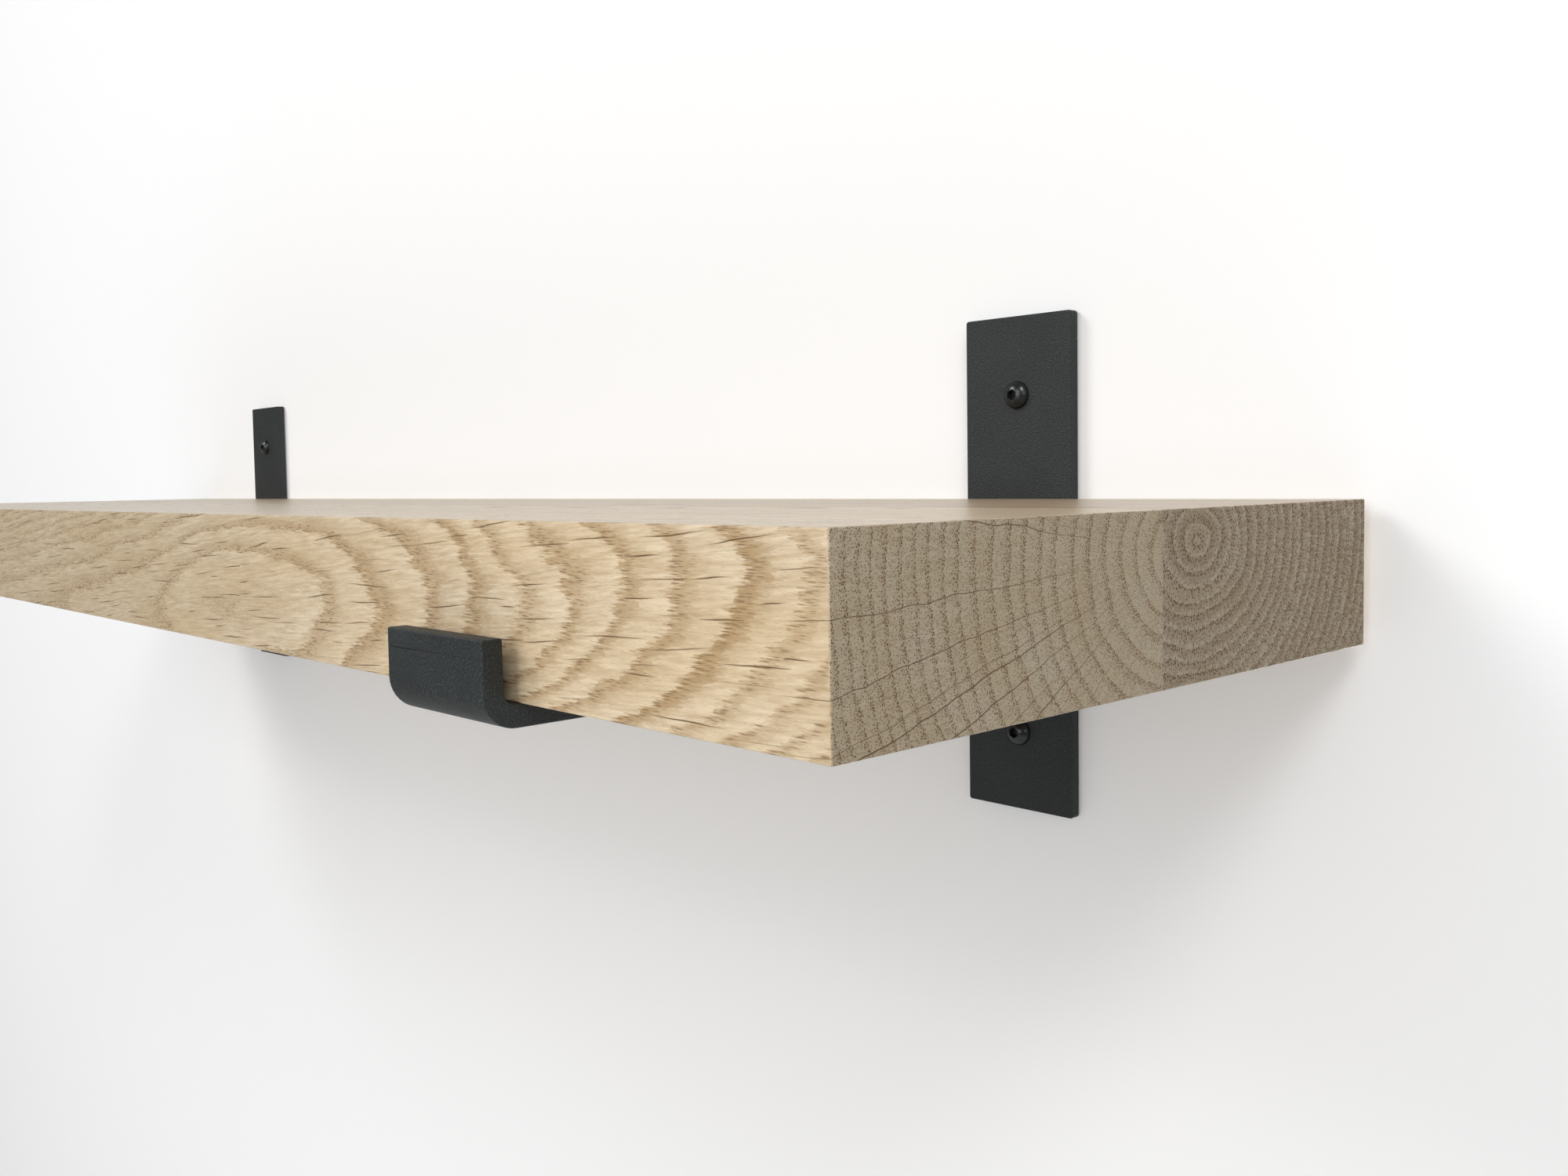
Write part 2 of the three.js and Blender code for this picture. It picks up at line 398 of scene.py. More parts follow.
@dataclass(frozen=True)
class LacqueredOak:
    """European oak, planed, sanded and given a thin satin lacquer.

    The figure is worked out through the whole stave from its growth rings, its rays and its
    pores, so the end grain, the faces and the edges agree where they meet. The pith runs nearly
    along X, and its place is given where it leaves the board's right end.
    """

    name: str
    board_length: float
    pith_y: float
    pith_z: float
    pith_climb: float
    pith_drift: Curve
    ring_width: float
    outer_rings: float
    first_year: float
    ring_squash: float
    latewood: str
    earlywood: str
    warm_tone: str
    pore_colour: str
    ray_colour: str
    ray_strength: float
    end_grain_tone: str
    # Multiplier for the painted shade at the board's left end, where less light falls.
    left_end_painted_shade: str
    end_ring_contrast: float
    comb_contrast: float
    colour_season: Curve
    seed: float
    pore_season: Curve = ((0.04, 1), (0.2, 0.9), (0.36, 0.35), (0.6, 0.2))
    vessel_season: Curve = ((0.04, 1.0), (0.25, 0.85), (0.45, 0.6), (0.85, 0.5))
    end_ring_share: float = 1.0
    end_ray_gain: float = 0.0
    drift_span: float = 50.0
    wobble: float = 0.7
    pore_length: float = 3.0
    pore_spacing: float = 0.34
    vessel_length: float = 30.0
    vessel_spacing: float = 0.8
    ray_cell_length: float = 20.0
    ray_cell_height: float = 4.4
    ray_reference_radius: float = 100.0
    ray_half_thickness: float = 0.14
    plain_range: tuple[float, float] = (330.0, 20.0)
    plain_contrast: float = 0.32
    feathering: float = 0.75
    fleck_length: float = 9.0
    fleck_depth: float = 3.0
    pore_depth: float = 0.06
    lacquer_roughness: float = 0.3

    def material(self) -> bpy.types.Material:
        """Builds the material.

        Returns:
            The finished material.
        """
        material, add = new_material(self.name)
        given = add("ShaderNodeTexCoord").node.outputs
        place = add(PLACED, (given["Object"], (1 / MM,) * 3))
        facing = add("ShaderNodeSeparateXYZ", (given["Normal"],))
        end_grain = add("ShaderNodeMath", (facing,), operation="ABSOLUTE")
        years, radius, angle = self._growth(add, place)
        pore_years, pore_distance = self._pore_cells(add, place)
        # Only the rings that stand out are followed on the end grain.
        share = add(SCALED, (end_grain, self.end_ring_share - 1, 1.0))
        years, pore_years = (add(SCALED, (each, share, 0.0)) for each in (years, pore_years))
        pores = self._pores(add, pore_years, pore_distance)
        vessels = self._vessels(add, place, years, end_grain)
        pores = add("ShaderNodeMath", (pores, vessels), operation="MAXIMUM")
        rays = self._rays(add, place, radius, angle, end_grain)
        flecks = self._flecks(add, place, radius, angle)
        colour = self._colour(add, place, (years, pore_years), flecks, end_grain)
        shaded = add(CLAMPED, (pores, 0.7, 0.0))
        colour = add(BLENDED, (shaded, colour, self.pore_colour))
        colour = add(BLENDED, (rays, colour, self.ray_colour))
        self._surface(add, colour, (pores, rays, flecks), end_grain)
        return material

    def _growth(self, add: NodeAdder, place: Socket) -> tuple[Socket, Socket, Socket]:
        """Adds the years, the radius in mm and the angle of a place round the wandering pith.

        Args:
            add: Adds a node to the material.
            place: The place in mm.

        Returns:
            How many rings lie between the pith and the place, its radius and its angle.
        """
        along = add("ShaderNodeSeparateXYZ", (place,))
        share = add(CLAMPED, (along, 1 / self.board_length, 0.5))
        drift = add("ShaderNodeFloatCurve", {"Value": share})
        mapping = drift.node.mapping
        curve = mapping.curves[0]
        points = [(u, 0.5 + offset / self.drift_span) for u, offset in self.pith_drift]
        curve.points[0].location = points[0]
        curve.points[1].location = points[-1]
        for point in points[1:-1]:
            curve.points.new(*point)
        mapping.update()
        start_y = self.pith_y - self.drift_span / 2
        start_z = self.pith_z - self.pith_climb * self.board_length / 2
        pith_y = add(SCALED, (drift, self.drift_span, start_y))
        pith_z = add(SCALED, (along, self.pith_climb, start_z))
        pith = add("ShaderNodeCombineXYZ", (along, pith_y, pith_z))
        # Slow bends of the grain: about 60 mm along it and 12 mm across.
        bent = add(PLACED, (place, (1 / 45, 1 / 14, 1 / 11), (self.seed, 0, 0)))
        noise = {"Vector": bent, "Scale": 1.0, "Detail": 4.0, "Roughness": 0.55}
        bend = add("ShaderNodeTexNoise", noise, output="Color")
        bend = add(PLACED, (bend, (0.0, 4 * self.wobble, 4 * self.wobble)))
        offset = add("ShaderNodeVectorMath", (place, pith), operation="SUBTRACT")
        offset = add("ShaderNodeVectorMath", (offset, bend), operation="ADD")
        squash = (0.0, self.ring_squash, 1.0)
        shift = (0.0, -2 * self.wobble * self.ring_squash, -2 * self.wobble)
        offset = add(PLACED, (offset, squash, shift))
        radius = add("ShaderNodeVectorMath", (offset,), output="Value", operation="LENGTH")
        across = add("ShaderNodeSeparateXYZ", (offset,)).node.outputs
        # The angle is taken from the -Y direction, so its seam lies behind the pith.
        towards_room = add("ShaderNodeMath", (across["Y"], -1.0), operation="MULTIPLY")
        angle = add("ShaderNodeMath", (across["Z"], towards_room), operation="ARCTAN2")
        # The rings grow narrower towards the bark, and good and bad years change them too.
        noise = {"W": radius, "Scale": 0.09, "Detail": 1.0}
        uneven = add("ShaderNodeTexNoise", noise, noise_dimensions="1D")
        share = add(SCALED, (radius, 1 / self.ray_reference_radius, 0.0))
        late_rings = add("ShaderNodeMath", (share, 4.0), operation="POWER")
        years = add(SCALED, (uneven, 1.2, self.first_year))
        years = add(SCALED, (late_rings, self.outer_rings, years))
        return add(SCALED, (radius, 1 / self.ring_width, years)), radius, angle

    def _season(self, add: NodeAdder, years: Socket, levels: Curve) -> Socket:
        """Adds a level that changes through each year as the pairs of time and level say."""
        season = add("ShaderNodeMath", (years,), operation="FRACT")
        ramp = add("ShaderNodeValToRGB", (season,))
        stops = ramp.node.color_ramp.elements
        stops[0].position, stops[1].position = 0.0, 1.0
        stops[0].color = stops[1].color = (levels[-1][1],) * 3 + (1.0,)
        for position, level in levels:
            stops.new(position).color = (level, level, level, 1.0)
        return ramp

    def _pore_cells(self, add: NodeAdder, place: Socket) -> tuple[Socket, Socket]:
        """Adds the years at the nearest pore's middle, and the distance from that pore.

        A pore belongs to the ring its middle lies in, so a ring's edge is feathered along the
        grain by the pores' length.
        """
        size = (self.pore_length, self.pore_spacing, self.pore_spacing)
        cells = add(PLACED, (place, tuple(1 / s for s in size)))
        pore = add("ShaderNodeTexVoronoi", {"Vector": cells, "Scale": 1.0}).node.outputs
        middle = add(PLACED, (pore["Position"], size))
        return self._growth(add, middle)[0], pore["Distance"]

    def _pores(self, add: NodeAdder, pore_years: Socket, distance: Socket) -> Socket:
        """Adds the open pores: dots on the end grain and short dashes along the faces."""
        # A pore is 0.3 mm wide in the earlywood, and 0.1 mm in the latewood.
        row = self._season(add, pore_years, self.pore_season)
        size = add(SCALED, (row, 0.34, 0.18))
        core = add(SCALED, (size, 0.4, 0.0))
        mask = add(FADED, (distance, size, core))
        return add(SCALED, (mask, add(SCALED, (row, 0.8, 0.2)), 0.0))

    def _vessels(self, add: NodeAdder, place: Socket, years: Socket, end_grain: Socket) -> Socket:
        """Adds the row of large vessels that opens each ring, which shows on the end grain."""
        # The saw opens a vessel to a pit about 0.5 mm across.
        size = (self.vessel_length, self.vessel_spacing, self.vessel_spacing)
        cells = add(PLACED, (place, tuple(1 / s for s in size)))
        spread = {"Vector": cells, "Scale": 1.0, "Randomness": 0.8}
        distance = add("ShaderNodeTexVoronoi", spread)
        row = self._season(add, years, self.vessel_season)
        mask = add(FADED, (distance, add(SCALED, (row, 0.3, 0.24)), 0.16, 0.0, 2.2))
        return add(SCALED, (mask, add(SCALED, (row, end_grain, 0.0)), 0.0))

    def _rays(
        self, add: NodeAdder, place: Socket, radius: Socket, angle: Socket, end_grain: Socket
    ) -> Socket:
        """Adds the broad rays: flat ribbons that stand along the grain and run out from the pith.

        They show as long thin lines on the end grain, and as short dark lenses on a face that
        follows the growth rings.
        """
        along = add("ShaderNodeSeparateXYZ", (place,))
        column = add(SCALED, (along, 1 / self.ray_cell_length, self.seed))
        rows = self.ray_reference_radius / self.ray_cell_height
        cells = add("ShaderNodeCombineXYZ", (column, add(SCALED, (angle, rows, 0.0))))
        spread = {"Vector": cells, "Scale": 1.0}
        ray = add("ShaderNodeTexVoronoi", spread, voronoi_dimensions="2D").node.outputs
        offset = add("ShaderNodeVectorMath", (cells, ray["Position"]), operation="SUBTRACT")
        offset = add(PLACED, (offset, (self.ray_cell_length, self.ray_cell_height, 0.0)))
        away = add("ShaderNodeSeparateXYZ", (offset,)).node.outputs
        chance = add("ShaderNodeSeparateColor", (ray["Color"],)).node.outputs
        # A broad ray is 3 to 12 mm to each side of its middle, and 0.4 mm thick there.
        reach = add(SCALED, (chance[0], 9.0, 3.0))
        reach = add("ShaderNodeMath", (away["X"], reach), operation="DIVIDE")
        squared = add(SCALED, (reach, reach, 0.0))
        half = self.ray_half_thickness
        thickness = add(SCALED, (squared, -half, half))
        lean = add(SCALED, (chance[1], 0.12, -0.06))
        aside = add(SCALED, (away["X"], lean, away["Y"]))
        spreading = add(SCALED, (radius, 1 / self.ray_reference_radius, 0.0))
        aside = add(SCALED, (aside, spreading, 0.0))
        aside = add("ShaderNodeMath", (aside,), operation="ABSOLUTE")
        outside = add("ShaderNodeMath", (aside, thickness), operation="SUBTRACT")
        mask = add(FADED, (outside, 0.08, -0.12))
        # Rays thin out towards the pith.
        grown = add("ShaderNodeMapRange", (radius, 16.0, 60.0, 0.0, self.ray_strength))
        strength = add(CLAMPED, (chance[2], 1.8, -0.25))
        strength = add(SCALED, (strength, grown, 0.0))
        gain = add(SCALED, (end_grain, self.end_ray_gain, 1.0))
        strength = add(SCALED, (strength, gain, 0.0))
        return add(CLAMPED, (mask, strength, 0.0))

    def _flecks(self, add: NodeAdder, place: Socket, radius: Socket, angle: Socket) -> Socket:
        """Adds the fine rays and fibres: 0.5 mm thick, a few mm deep and 9 mm along the grain."""
        along = add("ShaderNodeSeparateXYZ", (place,))
        along = add(SCALED, (along, 1 / self.fleck_length, 0.0))
        round_pith = add(SCALED, (angle, self.ray_reference_radius, 0.0))
        out = add(SCALED, (radius, 1 / self.fleck_depth, 0.0))
        cells = add("ShaderNodeCombineXYZ", (along, round_pith, out))
        noise = {"Vector": cells, "Scale": 1.0, "Detail": 3.0, "Roughness": 0.6}
        return add("ShaderNodeTexNoise", noise)

    def _colour(
        self,
        add: NodeAdder,
        place: Socket,
        years: tuple[Socket, Socket],
        flecks: Socket,
        end_grain: Socket,
    ) -> Socket:
        """Adds the wood's colour without its pores and its broad rays."""
        smooth, feathered = (self._season(add, each, self.colour_season) for each in years)
        early = add(SCALED, (smooth, 1 - self.feathering, 0.0))
        early = add(SCALED, (feathered, self.feathering, early))
        end_contrast = add(SCALED, (end_grain, self.end_ring_contrast - 1, 1.0))
        # The figure is plainer towards the board's left end, and painted shade makes its colour
        # darker and greyer there, where less light falls.
        along = add("ShaderNodeSeparateXYZ", (place,))
        plain = add(FADED, (along, *self.plain_range))
        plain_contrast = add(SCALED, (plain, self.plain_contrast - 1, 1.0))
        # No two years have the same tone.
        year = add("ShaderNodeMath", (years[0],), operation="FLOOR")
        tone = add("ShaderNodeTexWhiteNoise", {"W": year}, noise_dimensions="1D")
        year_contrast = add(SCALED, (tone, 0.5, 0.5))
        for contrast in (end_contrast, plain_contrast, year_contrast):
            early = add(SCALED, (early, contrast, 0.0))
        colour = add(BLENDED, (early, self.latewood, self.earlywood))
        patch = add(PLACED, (place, (1 / 80, 1 / 16, 1 / 14), (0, self.seed, 0)))
        patch = add("ShaderNodeTexNoise", {"Vector": patch, "Scale": 1.0, "Detail": 3.0})
        warmth = add(CLAMPED, (patch, 1.8, -0.6))
        colour = add(TINTED, (warmth, colour, self.warm_tone))
        gain = add(SCALED, (end_grain, self.comb_contrast, 1.6))
        darker = add(CLAMPED, (flecks, gain, add(SCALED, (gain, -0.5, 0.25))))
        colour = add(BLENDED, (darker, colour, self.earlywood))
        # Painted shade: the colour is darkened and greyed towards the left end, where less light
        # falls.
        colour = add(TINTED, (plain, colour, self.left_end_painted_shade))
        toned = add(TINTED, (1.0, colour, self.end_grain_tone))
        return add(BLENDED, (end_grain, colour, toned))

    def _surface(
        self,
        add: NodeAdder,
        colour: Socket,
        relief: tuple[Socket, Socket, Socket],
        end_grain: Socket,
    ) -> None:
        """Adds the lacquered surface: pores are small pits and the fibres stand a little proud."""
        pores, rays, flecks = relief
        pits = add(SCALED, (rays, -0.4, add(SCALED, (pores, -1.0, 0.0))))
        height = {
            "Height": add(SCALED, (flecks, 0.5, pits)),
            "Strength": 0.5,
            "Distance": self.pore_depth * MM,
        }
        roughness = add(SCALED, (end_grain, 0.2, self.lacquer_roughness))
        surface = {
            "Base Color": colour,
            "Roughness": add(SCALED, (pores, 0.2, roughness)),
            "Normal": add("ShaderNodeBump", height),
            "IOR": 1.5,
        }
        shader = add("ShaderNodeBsdfPrincipled", surface)
        add("ShaderNodeOutputMaterial", {"Surface": shader})


@dataclass(frozen=True)
class SpeckledFinish:
    """A plain finish with a fine grain in its surface and a slow change in its colour."""

    name: str
    colour: str
    second_colour: str
    roughness: float
    grain_size: float
    grain_depth: float
    grain_strength: float = 0.3
    metallic: float = 0.0
    ior: float = 1.5
    speckle: float = 0.6
    speckle_start: float = 0.0
    tone_size: float = 30.0
    roughness_change: float = 0.16

    def material(self) -> bpy.types.Material:
        """Builds the material.

        Returns:
            The finished material.
        """
        material, add = new_material(self.name)
        place = add("ShaderNodeTexCoord", output="Object")
        grain, tone = (
            add("ShaderNodeTexNoise", {"Vector": place, "Scale": 1 / (size * MM), "Detail": fine})
            for size, fine in ((self.grain_size, 2.0), (self.tone_size, 3.0))
        )
        mixed = add(SCALED, (grain, self.speckle, self.speckle_start - self.speckle / 2))
        factor = add("ShaderNodeMath", (tone, mixed), operation="ADD", use_clamp=True)
        smoothest = self.roughness - self.roughness_change / 2
        height = {
            "Height": grain,
            "Strength": self.grain_strength,
            "Distance": self.grain_depth * MM,
        }
        surface = {
            "Base Color": add(BLENDED, (factor, self.colour, self.second_colour)),
            "Roughness": add(SCALED, (grain, self.roughness_change, smoothest)),
            "Metallic": self.metallic,
            "IOR": self.ior,
            "Normal": add("ShaderNodeBump", height),
        }
        shader = add("ShaderNodeBsdfPrincipled", surface)
        add("ShaderNodeOutputMaterial", {"Surface": shader})
        return material


@dataclass
class Finishes:
    """Every material of the shelf."""

    board_length: float
    front_oak: bpy.types.Material = field(init=False)
    back_oak: bpy.types.Material = field(init=False)
    powder_coat: bpy.types.Material = field(init=False)
    black_screw: bpy.types.Material = field(init=False)
    zinc: bpy.types.Material = field(init=False)
    nylon: bpy.types.Material = field(init=False)

    def __post_init__(self) -> None:
        """Builds the materials."""
        # Flat-sawn stave: its rings lie along the front face, and the pith swings towards that
        # face at a swelling in the log, which draws the ovals on it.
        self.front_oak = LacqueredOak(
            name="lacquered_flat_sawn_oak",
            board_length=self.board_length,
            pith_y=-98.0,
            pith_z=29.0,
            pith_climb=0.072,
            pith_drift=(
                (0.0, -12.0), (0.25, -15.0), (0.44, -16.5), (0.58, -18.2), (0.72, -21.1),
                (0.81, -17.3), (0.885, -10.7), (0.94, -6.4), (1.0, 0.0),
            ),
            ring_width=2.9,
            outer_rings=11.0,
            first_year=-0.3,
            ring_squash=0.85,
            latewood="#e4d3b7",
            earlywood="#ac9069",
            warm_tone="#f2e8d4",
            pore_colour="#77593a",
            ray_colour="#654d30",
            ray_strength=1.0,
            end_grain_tone="#dce0e2",
            # Painted shade at the left end, where less light falls.
            left_end_painted_shade="#e8e8e6",
            end_ring_contrast=0.16,
            comb_contrast=-0.6,
            colour_season=((0.04, 1.0), (0.25, 0.9), (0.5, 0.25), (0.8, 0.0)),
            seed=3.7,
            wobble=0.65,
            vessel_spacing=0.5,
            end_ring_share=0.6,
            end_ray_gain=0.5,
        ).material()
        # Stave cut beside the pith: oval rings, tight near it and wider towards the wall.
        self.back_oak = LacqueredOak(
            name="lacquered_heart_oak",
            board_length=self.board_length,
            pith_y=-89.8,
            pith_z=31.2,
            pith_climb=0.02,
            pith_drift=((0.0, 4.0), (0.35, -3.0), (0.7, 3.0), (1.0, 0.0)),
            ring_width=3.1,
            outer_rings=1.5,
            first_year=0.0,
            ring_squash=0.72,
            latewood="#dcc9ac",
            earlywood="#9c8263",
            warm_tone="#f0e6d8",
            pore_colour="#664d34",
            ray_colour="#7a6750",
            ray_strength=0.3,
            end_grain_tone="#d6dadd",
            # Painted shade at the left end, where less light falls.
            left_end_painted_shade="#f0f0ee",
            end_ring_contrast=0.65,
            comb_contrast=3.6,
            colour_season=((0.03, 0.7), (0.3, 1.0), (0.7, 0.6), (0.84, 0.1)),
            seed=8.1,
            wobble=1.0,
            fleck_depth=1.4,
        ).material()
        # Flat bar with a sand-texture powder coat: matt, with grains about 0.5 mm across.
        self.powder_coat = SpeckledFinish(
            name="black_sand_powder_coat",
            colour="#0a0f0f",
            second_colour="#2f3737",
            roughness=0.6,
            grain_size=0.5,
            grain_depth=0.22,
            grain_strength=1.0,
            speckle=3.4,
            speckle_start=-0.2,
        ).material()
        # Screw steel with a baked black lacquer, smoother and glossier than the coat. Bright
        # zinc plate over rolled threads. Moulded grey nylon, slightly waxy.
        self.black_screw, self.zinc, self.nylon = (
            finish.material()
            for finish in (
                SpeckledFinish("black_lacquered_steel", "#141617", "#1e2122", 0.24, 0.8, 0.03),
                SpeckledFinish(
                    "bright_zinc_plated_steel", "#b6babd", "#cfd2d2", 0.32, 0.6, 0.02, metallic=1.0
                ),
                SpeckledFinish(
                    "moulded_grey_nylon", "#9a9d9d", "#adb0af", 0.5, 1.0, 0.04, ior=1.53
                ),
            )
        )


# ---- board


@dataclass
class Board:
    """The oak board, glued up from a front and a back stave."""

    edge_ease: float = 0.4
    joint_ease: float = 0.1
    ease_segments: int = 3

    def build(self, finishes: Finishes) -> None:
        """Builds both staves and dresses them."""
        joint_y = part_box("front_oak_stave")[1].y
        for node, slot, material in (
            ("front_oak_stave", "front_oak", finishes.front_oak),
            ("back_oak_stave", "back_oak", finishes.back_oak),
        ):
            piece = self._stave(node, joint_y)
            finish_piece(piece, node, material, smooth_angle=20)

    def _stave(self, node: str, joint_y: float) -> Piece:
        """Models one stave with its outer edges eased and its glued edges almost sharp."""
        low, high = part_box(node)
        piece = add_block("sanded_" + node, low, high)
        near = 0.01 * MM

        def glued(middle: Vector, direction: Vector) -> bool:
            """True for an edge that lies in the glue joint."""
            return abs(middle.y - joint_y) < near

        with editing(piece):
            select_edges(piece, lambda middle, way: not glued(middle, way))
            bpy.ops.mesh.bevel(offset=self.edge_ease * MM, segments=self.ease_segments)
            select_edges(piece, lambda middle, way: glued(middle, way) and abs(way.x) > 0.9)
            bpy.ops.mesh.bevel(offset=self.joint_ease * MM, segments=1)
        face_outwards(piece)
        return piece


# ---- bracket


def node_name(side: Side, kind: str, spot: Level | Row | None = None) -> str:
    """Gives the CAD node of a bracket's piece, such as left_upper_wall_screw."""
    return f"{side.value}_{spot.value}_{kind}" if spot else f"{side.value}_{kind}"


class BracketPiece(ABC):
    """A shape that both brackets hold: modelled once, at the first place, and then copied."""

    kind: ClassVar[str]
    made: ClassVar[str]
    slot: ClassVar[str]
    spots: ClassVar[Sequence[Level | Row | None]] = (None,)
    smooth_angle: ClassVar[float] = 30.0

    @abstractmethod
    def model(self, side: Side, low: Vector, high: Vector) -> Piece:
        """Models the piece inside its CAD node's box.

        Args:
            side: The bracket that it belongs to.
            low: The box's lowest corner in metres.
            high: The box's highest corner in metres.

        Returns:
            The closed piece.
        """

    def build(self, material: bpy.types.Material) -> None:
        """Models the piece, copies it to its other places and dresses them all."""
        first, *others = [
            node_name(side, self.kind, spot) for side in Side for spot in self.spots
        ]
        modelled = self.model(next(iter(Side)), *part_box(first))
        pieces = {first: modelled}
        pieces.update((node, copy_piece(modelled, first, node)) for node in others)
        for node, piece in pieces.items():
            piece.name = f"{self.made}_{node}"
            finish_piece(piece, node, material, self.smooth_angle)


@dataclass
class WallPlate(BracketPiece):
    """The flat plate of a bracket, drilled for its two wall screws."""

    kind = "wall_plate"
    made = "coated"
    slot = "powder_coated_steel"
    corner_radius: float = 0.9
    edge_ease: float = 0.35
    hole_radius: float = 2.75

    def model(self, side: Side, low: Vector, high: Vector) -> Piece:
        """Models the plate."""
        piece = add_block(self.kind, low, high)
        with editing(piece):
            select_edges(piece, lambda middle, way: abs(way.y) > 0.9)
            bpy.ops.mesh.bevel(offset=self.corner_radius * MM, segments=4)
        cut_away(piece, [self._drill(side, level, high.y - low.y) for level in Level])
        ease_edges(piece, self.edge_ease, 2)
        face_outwards(piece)
        return piece

    def _drill(self, side: Side, level: Level, thickness: float) -> Piece:
        """Makes the cutter for one screw hole through the thickness in metres."""
        screw_low, screw_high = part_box(node_name(side, WallScrew.kind, level))
        centre = (screw_low + screw_high) / 2
        reach = 2 * thickness / MM
        stations = [Station(-reach, self.hole_radius), Station(reach, self.hole_radius)]
        return turn_piece("drill", stations, Axis.INTO_WALL, Vector((centre.x, 0, centre.z)), 32)


@dataclass
class BracketArm(BracketPiece):
    """The arm under the board, bent up into a lip at its front."""

    kind = "bracket_arm"
    made = "coated"
    slot = "powder_coated_steel"
    thickness: float = 5.0
    bend_inner_radius: float = 3.0
    bend_steps: int = 10
    edge_ease: float = 0.45
    crease_below_top: float = 4.2
    crease_depth: float = 0.13
    crease_lean: float = 0.4
    hole_clearance: float = 0.3

    def model(self, side: Side, low: Vector, high: Vector) -> Piece:
        """Models the arm."""
        piece = self._bent_bar(low, high)
        cut_away(piece, [self._countersink(side, row) for row in Row])
        ease_edges(piece, self.edge_ease, 3)
        cut_away(piece, [self._crease(low, high)])
        face_outwards(piece)
        return piece

    def _bent_bar(self, low: Vector, high: Vector) -> Piece:
        """Models the bar: pushed out from the wall plate, bent, then raised into the lip."""
        thick, inner = self.thickness * MM, self.bend_inner_radius * MM
        arm_top = low.z + thick
        lip_inner_y = low.y + thick
        bend_y = lip_inner_y + inner
        clear_selection()
        bpy.ops.mesh.primitive_plane_add(
            size=1,
            location=((low.x + high.x) / 2, high.y, low.z + thick / 2),
            rotation=(math.pi / 2, 0, 0),
        )
        piece = bpy.context.object
        piece.scale = (high.x - low.x, thick, 1)
        settle(piece)
        with editing(piece):
            run = Vector((0, bend_y - high.y, 0))
            bpy.ops.mesh.extrude_region_move(TRANSFORM_OT_translate={"value": run})
            bpy.ops.mesh.spin(
                steps=self.bend_steps,
                angle=math.pi / 2,
                center=((low.x + high.x) / 2, bend_y, arm_top + inner),
                axis=(1, 0, 0),
            )
            rise = Vector((0, 0, high.z - arm_top - inner))
            bpy.ops.mesh.extrude_region_move(TRANSFORM_OT_translate={"value": rise})
        face_outwards(piece)
        return piece

    def _countersink(self, side: Side, row: Row) -> Piece:
        """Makes the cutter for one countersunk hole, a little wider than its screw."""
        low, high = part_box(node_name(side, ShelfScrew.kind, row))
        centre = (low + high) / 2
        screw = ShelfScrew()
        head = screw.head_diameter / 2 + self.hole_clearance
        shank = screw.diameter / 2 + self.hole_clearance
        cone_start = screw.rim + self.hole_clearance
        stations = [
            Station(-self.thickness, head),
            Station(cone_start, head),
            Station(cone_start + head - shank, shank),
            Station(2 * self.thickness, shank),
        ]
        return turn_piece("sink", stations, Axis.UP, Vector((centre.x, centre.y, low.z)), 32)

    def _crease(self, low: Vector, high: Vector) -> Piece:
        """Makes the cutter for the faint press mark across the front of the lip."""
        half = self.crease_depth * MM
        centre = Vector(((low.x + high.x) / 2, low.y, high.z - self.crease_below_top * MM))
        reach = Vector(((high.x - low.x) * 0.6, half, half))
        cutter = add_block("crease", centre - reach, centre + reach)
        with editing(cutter):
            for angle, axis in ((math.pi / 4, "X"), (math.radians(self.crease_lean), "Z")):
                bpy.ops.transform.rotate(value=angle, orient_axis=axis, center_override=centre)
        return cutter


@dataclass
class ArmWeld(BracketPiece):
    """The fillet weld in the corner under the arm, with the ripples of its passes."""

    kind = "arm_weld"
    made = "welded"
    slot = "powder_coated_steel"
    smooth_angle = 50.0
    radius: float = 3.0
    end_share: float = 0.8
    ripple: float = 0.12
    ripple_pitch: float = 1.1

    def model(self, side: Side, low: Vector, high: Vector) -> Piece:
        """Models the bead."""
        inset = self.radius * MM
        centre = Vector((low.x, low.y + inset, low.z + inset))
        length = (high.x - low.x) / MM
        steps = 2 * round(length / self.ripple_pitch)
        stations = [
            Station(
                length * step / steps,
                self.radius * (self.end_share if step in (0, steps) else 1)
                - self.ripple * (0 if step % 2 else 1),
            )
            for step in range(steps + 1)
        ]
        piece = turn_piece(self.kind, stations, Axis.ALONG_WALL, centre, 24)
        with editing(piece):
            for point, normal in ((high, (0, 1, 0)), (high, (0, 0, 1))):
                bpy.ops.mesh.select_all(action="SELECT")
                bpy.ops.mesh.bisect(
                    plane_co=point, plane_no=normal, use_fill=True, clear_outer=True
                )
        face_outwards(piece)
        return piece


